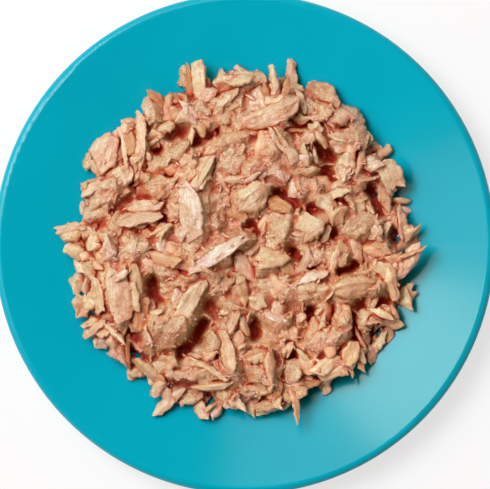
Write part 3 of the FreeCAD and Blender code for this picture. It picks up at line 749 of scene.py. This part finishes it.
def make_core(kind, pile, level):
    """The core: pulp that fills the narrow gaps between the flakes, with soft lumps and grains in relief."""
    count = CORE_GRID
    dx, dy = disc_grid(count)
    share = np.hypot(dx, dy)
    r = np.interp(np.arctan2(dy, dx), *pulp_edge(level, pile))
    x, y = dx * r, dy * r
    z = np.maximum(pile.between(level, x, y), FLOOR_TOP + core_height(x, y))
    relief = 0.75 * rough(x / 2.8, y / 2.8, 4.0) + beads(0.9, 1.6, 1.6, x, y, 9.0)
    relief = relief + beads(0.4, 0.8, 0.8, x, y, 19.0)
    base = plate_surface(np.hypot(x, y))
    z = np.where(share < 0.998, np.maximum(z + relief, base + 0.05), base + CORE_SKIN)
    points = np.stack([x.ravel(), y.ravel(), z.ravel()], 1)
    np.maximum.at(pile.z, pile.index(x.ravel(), y.ravel()), z.ravel())
    i, k = np.meshgrid(np.arange(count - 1), np.arange(count - 1), indexing="ij")
    a = i * count + k
    a, b, c, d = (q.ravel() for q in (a, a + count, a + count + 1, a + 1))
    side, last = np.arange(count - 1), count - 1
    border = np.concatenate([side * count, last * count + side, (count - side) * count - 1, last - side])
    middle = np.full(len(border), len(points))
    corners = ((a, b, c), (a, c, d), (middle, np.roll(border, -1), border))
    faces = np.concatenate([np.stack(corner, 1) for corner in corners])
    points = np.concatenate([points, [[0, 0, FLOOR_TOP + CORE_SKIN]]])
    spread = [pile.smoothed(0.8, pile.tint[..., c]) for c in range(3)]
    near = np.stack([pile.between(grid, points[:, 0], points[:, 1]) for grid in spread], 1)
    kind.add(points, faces, 0.6 * near + 0.4 * linear(TONES["pulp"]), points.copy())


# --- materials ---
# Patterns over the meat's colour, and painted glints: the two values of a noise between which one tint turns
# into the other
STREAKS = (0.38, 0.66, (0.89, 0.84, 0.80), (1.04, 1.06, 1.08))
CLOUDS = (0.35, 0.65, (0.93, 0.84, 0.76), (1.02, 1.05, 1.07))
DRIFTS = (0.35, 0.65, (0.95, 0.89, 0.84), (1.02, 1.03, 1.05))
DOTS = (0.40, 0.62, (0.76, 0.68, 0.61), (1.06, 1.09, 1.12))
# painted glints: small pale spots where wet highlights would be
PAINTED_GLINTS = (0.60, 0.67, (1.0, 1.0, 1.0), (1.18, 1.27, 1.34))
# Painted shade in narrow gaps, darker and redder: the share of open sky, from shut to open, and the tint at
# each
GAP_SHADE = (0.0, 0.88, (0.92, 0.16, 0.0), (1.0, 1.0, 1.0))
GAP_REACH = 5 * MM      # as far as the walls of a gap colour its painted shade
DEEP_RED = 0.57         # share of the red light that comes up from deep inside the meat
DEEP_SHARE = 0.04       # weight of the shader that shows it, which is as much stronger
MEAT_SCATTER = (1.15, 0.95, 0.8)
MEAT_SCATTER_SCALE = 1.1 * MM
MEAT_SCATTER_WEIGHT, JELLY_MORE = 0.85, 0.15
MEAT_ROUGHNESS = (0.35, 0.65, 0.36, 0.58)   # two values of the fine noise, and the roughness at each
FILM_WAVES = 0.9 * MM   # of the broth's surface
# Each meat: height in mm of its strands and its grains, how wet it is, how mottled it is and how strong its
# painted glints are, and its share of jelly
MEATS = {
    "fibrous_meat": (0.15, 0.07, 0.8, 0.5, 0.0),
    "pulpy_meat": (0.03, 0.26, 1.0, 1.0, 0.0),
    "smooth_meat": (0.06, 0.05, 0.8, 0.35, 0.0),
    "jelly": (0.0, 0.08, 1.0, 0.4, 1.0),
}

GLAZE_DEEP, GLAZE_THIN = (0.0006, 0.404, 0.545), (0.0012, 0.428, 0.569)
GLAZE_FLECK, FLECK_SHARE = (0.0006, 0.30, 0.40), 0.10
CLAY_DARK, CLAY_PALE = (0.62, 0.56, 0.47), (0.78, 0.73, 0.64)
GLAZE_FROM = (0.3 * MM, 0.6 * MM)   # height over which the bare foot turns to glaze
GLAZE_ROUGHNESS = (0.12, 0.15)
CLAY_ROUGHNESS = 0.8


class Nodes:
    """Short forms for building the nodes of a material or a world."""

    def __init__(self, owner):
        self.owner = owner
        owner.use_nodes = True
        self.tree = owner.node_tree
        self.tree.nodes.clear()

    def feed(self, socket, value):
        """Gives a socket a number, a vector or a colour, or links it to another node's output."""
        if isinstance(value, bpy.types.NodeSocket):
            self.tree.links.new(value, socket)
        elif socket.type == "RGBA":
            socket.default_value = (*value, 1.0)
        else:
            socket.default_value = value

    def add(self, kind, sockets=None, **settings):
        """A node with its settings, and what its sockets are fed, by their names or numbers."""
        node = self.tree.nodes.new(kind)
        for name, value in settings.items():
            setattr(node, name, value)
        for name, value in (sockets or {}).items():
            self.feed(node.inputs[name], value)
        return node

    def noise(self, vector, scale, detail=3.0, roughness=0.5):
        fed = {"Vector": vector, "Scale": scale, "Detail": detail, "Roughness": roughness}
        return self.add("ShaderNodeTexNoise", fed).outputs["Fac"]

    def stretched(self, vector, scale):
        return self.add("ShaderNodeVectorMath", {0: vector, 1: scale}, operation="MULTIPLY").outputs["Vector"]

    def ranged(self, value, low, high, new_low=0.0, new_high=1.0, how="SMOOTHSTEP"):
        fed = dict(enumerate((value, low, high, new_low, new_high)))
        return self.add("ShaderNodeMapRange", fed, interpolation_type=how).outputs[0]

    def maths(self, operation, a, b):
        return self.add("ShaderNodeMath", {0: a, 1: b}, operation=operation).outputs[0]

    def mixed(self, share, a, b, how="MIX"):
        fed = {"Factor": share, 6: a, 7: b}
        return self.add("ShaderNodeMix", fed, data_type="RGBA", blend_type=how).outputs[2]

    def patterned(self, colour, value, pattern, share=1.0):
        """A colour times a tint that turns into another as a value rises."""
        low, high, first, second = pattern
        tint = self.mixed(self.ranged(value, low, high), first, second)
        return self.mixed(share, colour, tint, "MULTIPLY")

    def attribute(self, name):
        node = self.add("ShaderNodeAttribute", attribute_name=name, attribute_type="GEOMETRY")
        return node.outputs["Vector"]

    def seen(self, in_mirrors=None):
        """1 to rays from the camera, and to reflected and refracted ones, or a share of them."""
        ray = self.add("ShaderNodeLightPath").outputs
        mirrored = self.maths("MAXIMUM", ray["Is Glossy Ray"], ray["Is Transmission Ray"])
        if in_mirrors is not None:
            mirrored = self.maths("MULTIPLY", mirrored, in_mirrors)
        return self.maths("MAXIMUM", ray["Is Camera Ray"], mirrored)

    def bump(self, height, strength, distance, **more):
        fed = {"Height": height, "Strength": strength, "Distance": distance, **more}
        return self.add("ShaderNodeBump", fed).outputs[0]


def meat_material(name, strands, grain, wet, mottle_and_glints, gel):
    """Moist cooked meat: its tone with streaks along the fibres and mottling, painted glints as pale spots,
    painted shade darker and redder in narrow gaps, and wet glints from its coat.
    """
    n = Nodes(bpy.data.materials.new(name))
    fibre = n.attribute("fibre")
    streak = n.noise(n.stretched(fibre, (0.12, 1.9, 1.0)), 1.0, 4.0, 0.6)
    fine = n.noise(n.stretched(fibre, (0.35, 4.2, 1.5)), 1.0, 2.0)
    speck = n.noise(fibre, 2.2, 4.0, 0.65)
    hollow = n.add("ShaderNodeAmbientOcclusion", {"Distance": GAP_REACH}, samples=6)
    colour = n.patterned(n.attribute("tint"), streak, STREAKS)
    colour = n.patterned(colour, n.noise(fibre, 0.36, 3.0), CLOUDS)
    colour = n.patterned(colour, n.noise(fibre, 0.13, 1.0), DRIFTS)
    colour = n.patterned(colour, speck, DOTS, mottle_and_glints)
    # painted glints: pale spots over the meat
    colour = n.patterned(colour, n.noise(fibre, 1.2, 2.0, 0.6), PAINTED_GLINTS, mottle_and_glints)
    # painted shade: darker and redder where the occlusion node finds little open sky
    colour = n.patterned(colour, hollow.outputs["AO"], GAP_SHADE)
    height = n.maths("MULTIPLY", streak, strands)
    height = n.maths("ADD", height, n.maths("MULTIPLY", fine, 0.5 * strands))
    height = n.maths("ADD", height, n.maths("MULTIPLY", speck, grain))
    relief = n.bump(height, 1.0, MM)
    skin = [share / (1 - DEEP_SHARE) for share in (1 - DEEP_RED, 1.0, 1.0)]
    shader = n.add("ShaderNodeBsdfPrincipled", {
        "Base Color": n.mixed(1.0, colour, skin, "MULTIPLY"),
        "Subsurface Weight": MEAT_SCATTER_WEIGHT + JELLY_MORE * gel,
        "Subsurface Radius": MEAT_SCATTER,
        "Subsurface Scale": MEAT_SCATTER_SCALE,
        "Roughness": n.ranged(speck, *MEAT_ROUGHNESS),
        "Specular IOR Level": 0.45,
        "Coat Weight": wet,
        "Coat Roughness": 0.07,
        "Coat IOR": 1.9,
        "Normal": relief,
        "Coat Normal": n.bump(n.noise(fibre, 1.7, 2.0), 1.0, FILM_WAVES, Normal=relief),
    })
    # part of the red light comes up from deep inside, whichever way the surface faces
    deep = n.add("ShaderNodeBsdfDiffuse", {
        "Color": n.mixed(1.0, colour, (DEEP_RED / DEEP_SHARE, 0.0, 0.0), "MULTIPLY"),
        "Normal": n.add("ShaderNodeCombineXYZ", {"Z": 1.0}).outputs[0],
    })
    both = n.add("ShaderNodeMixShader", {0: DEEP_SHARE, 1: shader.outputs[0], 2: deep.outputs[0]})
    n.add("ShaderNodeOutputMaterial", {0: both.outputs[0]})
    return n.owner


def glaze_material():
    """Glossy turquoise glaze on pale clay, which stays bare where the foot ring stands."""
    n = Nodes(bpy.data.materials.new("turquoise_glaze"))
    place = n.add("ShaderNodeTexCoord").outputs["Object"]
    cloud = n.noise(place, 22.0, 2.0)
    glaze = n.mixed(n.ranged(cloud, 0.3, 0.7), GLAZE_DEEP, GLAZE_THIN)
    fleck = n.ranged(n.noise(place, 900.0, 2.0), 0.62, 0.75, 0.0, FLECK_SHARE)
    glaze = n.mixed(fleck, glaze, GLAZE_FLECK)
    clay = n.mixed(n.noise(place, 300.0, 3.0), CLAY_DARK, CLAY_PALE)
    height = n.add("ShaderNodeSeparateXYZ", {0: place}).outputs["Z"]
    bare = n.ranged(height, *GLAZE_FROM, 1.0, 0.0)
    shine = n.ranged(cloud, 0.3, 0.7, *GLAZE_ROUGHNESS)
    shader = n.add("ShaderNodeBsdfPrincipled", {
        "Base Color": n.mixed(bare, glaze, clay),
        "Roughness": n.maths("MAXIMUM", shine, n.maths("MULTIPLY", bare, CLAY_ROUGHNESS)),
        "Specular IOR Level": 0.22,
        "Specular Tint": (1.0, 0.85, 0.62),
        "Normal": n.bump(n.noise(place, 60.0, 1.0), 0.12, 0.2 * MM),
    })
    n.add("ShaderNodeOutputMaterial", {0: shader.outputs[0]})
    return n.owner


# --- the heap ---
# The kinds of piece, and the meat that each is of
KINDS = {
    "meat_core": "pulpy_meat", "fibrous_flakes": "fibrous_meat", "smooth_flakes": "smooth_meat",
    "pulpy_flakes": "pulpy_meat", "small_flakes": "fibrous_meat", "shreds": "fibrous_meat",
    "clumps": "pulpy_meat", "crumbs": "pulpy_meat", "jelly_lumps": "jelly",
}
KIND_OF_LOOK = {"f": "fibrous_flakes", "w": "fibrous_flakes", "s": "smooth_flakes"}


def follow_at(x, y):
    return FOLLOW if math.hypot(x, y) < LEVEL_BEYOND else FOLLOW_LEVEL


def lay_fill(kind, pile):
    """Flakes all over the core, leaning every way."""
    for x, y in spiral(FILL.count, CORE_RADIUS - 1):
        size = sized(FILL)
        heading, tone, look = chance.uniform(0, 360), tone_at(x, y), chance.choice(LOOSE_LOOKS)
        if not in_hollow(x, y, FILL.margin):
            tilt, lean = chance.uniform(*FILL.tilt), chance.normal() * FILL_LEAN
            lay_flake(kind, pile, x, y, heading, *size, tilt, tone, look, FILL, lean=lean)


def lay_edge(kind, pile):
    """Flakes round the edge, most of them pointing outward."""
    for i in range(EDGE.count):
        angle = 2 * math.pi * (i + chance.uniform(-0.4, 0.4)) / EDGE.count
        r = outline(angle) + chance.uniform(*EDGE_OUT)
        heading = math.degrees(angle) + chance.uniform(-EDGE_TURN, EDGE_TURN)
        size = sized(EDGE)
        x, y = r * math.cos(angle), r * math.sin(angle)
        tone, look, tilt = tone_at(x, y), chance.choice(LOOSE_LOOKS), chance.uniform(*EDGE.tilt)
        lay_flake(kind, pile, x, y, heading, *size, tilt, tone, look, EDGE, FOLLOW_EDGE)


def lay_granular(kind, pile):
    """The granular flakes that stand out, under the others."""
    for x, y, *size, tilt, tone in GRANULAR_FLAKES:
        tilt, lean = swayed(tilt, GRANULAR)
        lay_flake(kind, pile, x, y, *size, tilt, tone, "g", GRANULAR, follow_at(x, y), lean)


def lay_brinks(kind, pile):
    """A small flake on the brink of each crevice."""
    for x0, y0, x1, y1, half, _ in HOLLOWS:
        t, turn = chance.uniform(0, 1), chance.uniform(0, 2 * math.pi)
        away = half + chance.uniform(*BRINK_OUT)
        x = x0 + t * (x1 - x0) + away * math.cos(turn)
        y = y0 + t * (y1 - y0) + away * math.sin(turn)
        if not in_hollow(x, y, BRINK.margin):
            size = sized(BRINK)
            heading = math.degrees(turn) + chance.choice([0, 90]) + chance.normal() * BRINK_TURN
            tilt, tone = chance.uniform(*BRINK.tilt), tone_at(x, y)
            lay_flake(kind, pile, x, y, heading, *size, tilt, tone, "f", BRINK)


def lay_top(kinds, pile):
    """The flakes on top, the fibrous ones with a loose shred on each end."""
    for x, y, heading, length, width, tilt, tone, look in FLAKES:
        laid = WHOLE if look == "w" or tone == "white" else TORN
        tilt, lean = swayed(tilt, laid)
        lay_flake(kinds[KIND_OF_LOOK[look]], pile, x, y, heading, length, width, tilt, tone, look, laid,
                  follow_at(x, y), lean, keep=True)
        if look == "f" and math.hypot(x, y) < CORE_RADIUS - FRAY_INSIDE:
            c, s = math.cos(math.radians(heading)), math.sin(math.radians(heading))
            for end in (-1, 1):
                out, off = end * FRAY_AT * length, chance.uniform(-FRAY_OFF, FRAY_OFF) * width
                place = x + out * c - off * s, y + out * s + off * c
                fray = heading + chance.normal() * FRAY_TURN
                lay_flake(kinds["shreds"], pile, *place, fray, *sized(FRAY), FRAY.tilt, tone, "f", FRAY)


def scatter_shreds(kind, pile):
    for _ in range(SHRED.count):
        x, y = somewhere(CORE_RADIUS - 1)
        size, tone = sized(SHRED), chance.choice(PALE_TONES + ["blush"])
        if not in_hollow(x, y, SHRED.margin) and not pile.kept[pile.index(x, y)]:
            heading, tilt = chance.uniform(0, 360), chance.uniform(*SHRED.tilt)
            lay_flake(kind, pile, x, y, heading, *size, tilt, tone, "f", SHRED)


def scatter_clumps(kind, pile):
    for _ in range(CLUMP.count):
        x, y = somewhere(CORE_RADIUS - 2)
        radius, heading = chance.uniform(*CLUMP.radius), chance.uniform(0, 6)
        tint = tint_of(chance.choice(PALE_TONES))
        if not in_hollow(x, y, CLUMP_MARGIN) and not pile.kept[pile.index(x, y)]:
            lay_lump(kind, pile, x, y, radius, heading, tint, CLUMP)


def lay_jelly(kind, pile):
    tint = linear(TONES["jelly"])
    for x, y, radius in JELLY:
        points, faces, fibre = lump(radius, CLEAR)
        points = turned(points, chance.uniform(0, 6), 0.1, 0.1) + np.array([x, y, 0])
        pile.lay(points, CLEAR.sink, tint)
        kind.add(points, faces, tint, fibre)


def scatter_crumbs(kind, pile):
    for _ in range(CRUMB.count):
        x, y = somewhere(CORE_RADIUS + 0.5)
        radius, heading = chance.uniform(*CRUMB.radius), chance.uniform(0, 6)
        tint = tint_of(chance.choice(PALE_TONES + ["tan"]))
        if chance.uniform() < (CRUMBS_ON_TOP if pile.kept[pile.index(x, y)] else 1.0):
            lay_lump(kind, pile, x, y, radius, heading, tint, CRUMB)


def make_heap():
    pile = Pile()
    kinds = {name: Kind(name) for name in KINDS}
    lay_fill(kinds["small_flakes"], pile)
    lay_edge(kinds["small_flakes"], pile)
    lay_granular(kinds["pulpy_flakes"], pile)
    level = pulp_level(pile, PULP_BELOW)
    pile.z = np.maximum(pile.z, level)
    lay_brinks(kinds["small_flakes"], pile)
    lay_top(kinds, pile)
    level = np.maximum(level, pulp_level(pile, PULP_BELOW_ABOVE))
    clear = np.minimum(level, pile.z - PULP_BELOW_KEPT)
    make_core(kinds["meat_core"], pile, np.where(pile.kept, clear, level))
    scatter_shreds(kinds["shreds"], pile)
    scatter_clumps(kinds["clumps"], pile)
    lay_jelly(kinds["jelly_lumps"], pile)
    scatter_crumbs(kinds["crumbs"], pile)

    wider, nearest = pile.smoothed(HOLLOW_REACH), pile.smoothed(DENT_REACH)
    meats = {name: meat_material(name, *values) for name, values in MEATS.items()}
    for name, kind in kinds.items():
        piece = kind.make(meats[KINDS[name]], pile, wider, nearest)
        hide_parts("food_heap")


# --- the set ---
CAMERA_HEIGHT = 1.2     # above the rim
VIEW_WIDTH = 0.1563     # what the picture's width covers at the height of the rim
VIEW_CENTRE = (0.0001, -0.0002)
SENSOR_WIDTH = 36.0
# Lamps, named by what they do: azimuth, elevation, distance, width, height, radiance, colour
LAMPS = {
    "key": (146.0, 58.5, 1.40, 0.70, 0.70, 9.35, (0.90, 1.08, 1.21)),
    "wide": (146.0, 57.5, 1.32, 1.92, 1.20, 2.0, (1.10, 0.92, 0.78)),
}
ROOM_COLOUR = (1.78, 0.90, 0.61)
ROOM_FADE = (0.25, 0.75, 0.28, 0.015)   # two upward shares of a direction, and the room's strength at each
WHITE_FADE = (0.08, 0.25)               # where the white background in reflections gives way to the room
WHITE = (1.0, 1.0, 1.0)
FLOOR_REACH = 3.0
FLOOR_COLOUR = (0.93, 0.93, 0.93)
FLOOR_SEEN, FLOOR_GLOW = (0.28, 0.28, 0.28), 0.70       # as it is seen: what takes a shadow, and the rest


def make_camera():
    data = bpy.data.cameras.new("camera")
    camera = placed("camera", data)
    camera.location = (*VIEW_CENTRE, RIM_TOP * MM + CAMERA_HEIGHT)
    data.sensor_width = SENSOR_WIDTH
    data.lens = SENSOR_WIDTH * CAMERA_HEIGHT / VIEW_WIDTH
    data.clip_start = 0.01
    data.clip_end = 20.0
    bpy.context.scene.camera = camera


def make_lamps():
    for name, (azimuth, elevation, distance, width, height, radiance, colour) in LAMPS.items():
        data = bpy.data.lights.new(name, "AREA")
        data.shape = "ELLIPSE"
        data.size, data.size_y = width, height
        data.color = colour
        data.energy = radiance * math.pi * math.pi * width * height / 4
        lamp = placed(name, data)
        turn, up = math.radians(azimuth), math.radians(elevation)
        way = Vector((math.cos(turn) * math.cos(up), math.sin(turn) * math.cos(up), math.sin(up)))
        lamp.location = way * distance
        lamp.rotation_euler = way.to_track_quat("Z", "Y").to_euler()


def make_world():
    """A dim room, darker overhead, that is white to the camera and, near the floor, in reflections."""
    world = bpy.data.worlds.new("room")
    bpy.context.scene.world = world
    n = Nodes(world)
    place = n.add("ShaderNodeTexCoord").outputs["Generated"]
    up = n.add("ShaderNodeSeparateXYZ", {0: place}).outputs["Z"]
    strength = n.ranged(up, *ROOM_FADE, how="LINEAR")
    room = n.add("ShaderNodeBackground", {"Color": ROOM_COLOUR, "Strength": strength})
    white = n.add("ShaderNodeBackground", {"Color": WHITE, "Strength": 1.0})
    seen = n.seen(n.ranged(up, *WHITE_FADE, 1.0, 0.0))
    mix = n.add("ShaderNodeMixShader", {0: seen, 1: room.outputs[0], 2: white.outputs[0]})
    n.add("ShaderNodeOutputWorld", {"Surface": mix.outputs[0]})


def make_floor():
    """A plain white floor, which keeps the shadow on it where it is seen."""
    mesh = bpy.data.meshes.new("floor")
    corners = [(-FLOOR_REACH, -FLOOR_REACH, 0), (FLOOR_REACH, -FLOOR_REACH, 0),
               (FLOOR_REACH, FLOOR_REACH, 0), (-FLOOR_REACH, FLOOR_REACH, 0)]
    mesh.from_pydata(corners, [], [(0, 1, 2, 3)])
    floor = placed("floor", mesh)
    n = Nodes(bpy.data.materials.new("white_floor"))
    paper = n.add("ShaderNodeBsdfDiffuse", {"Color": FLOOR_COLOUR})
    faint = n.add("ShaderNodeBsdfDiffuse", {"Color": FLOOR_SEEN})
    glow = n.add("ShaderNodeEmission", {"Strength": FLOOR_GLOW})
    both = n.add("ShaderNodeAddShader", {0: faint.outputs[0], 1: glow.outputs[0]})
    pick = n.add("ShaderNodeMixShader", {0: n.seen(), 1: paper.outputs[0], 2: both.outputs[0]})
    n.add("ShaderNodeOutputMaterial", {0: pick.outputs[0]})
    mesh.materials.append(n.owner)


def main():
    make_camera()
    make_lamps()
    make_world()
    make_floor()
    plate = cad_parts["plate"]
    plate.data.materials.clear()
    plate.data.materials.append(glaze_material())
    make_heap()
    bpy.context.scene.view_settings.view_transform = "Standard"


main()
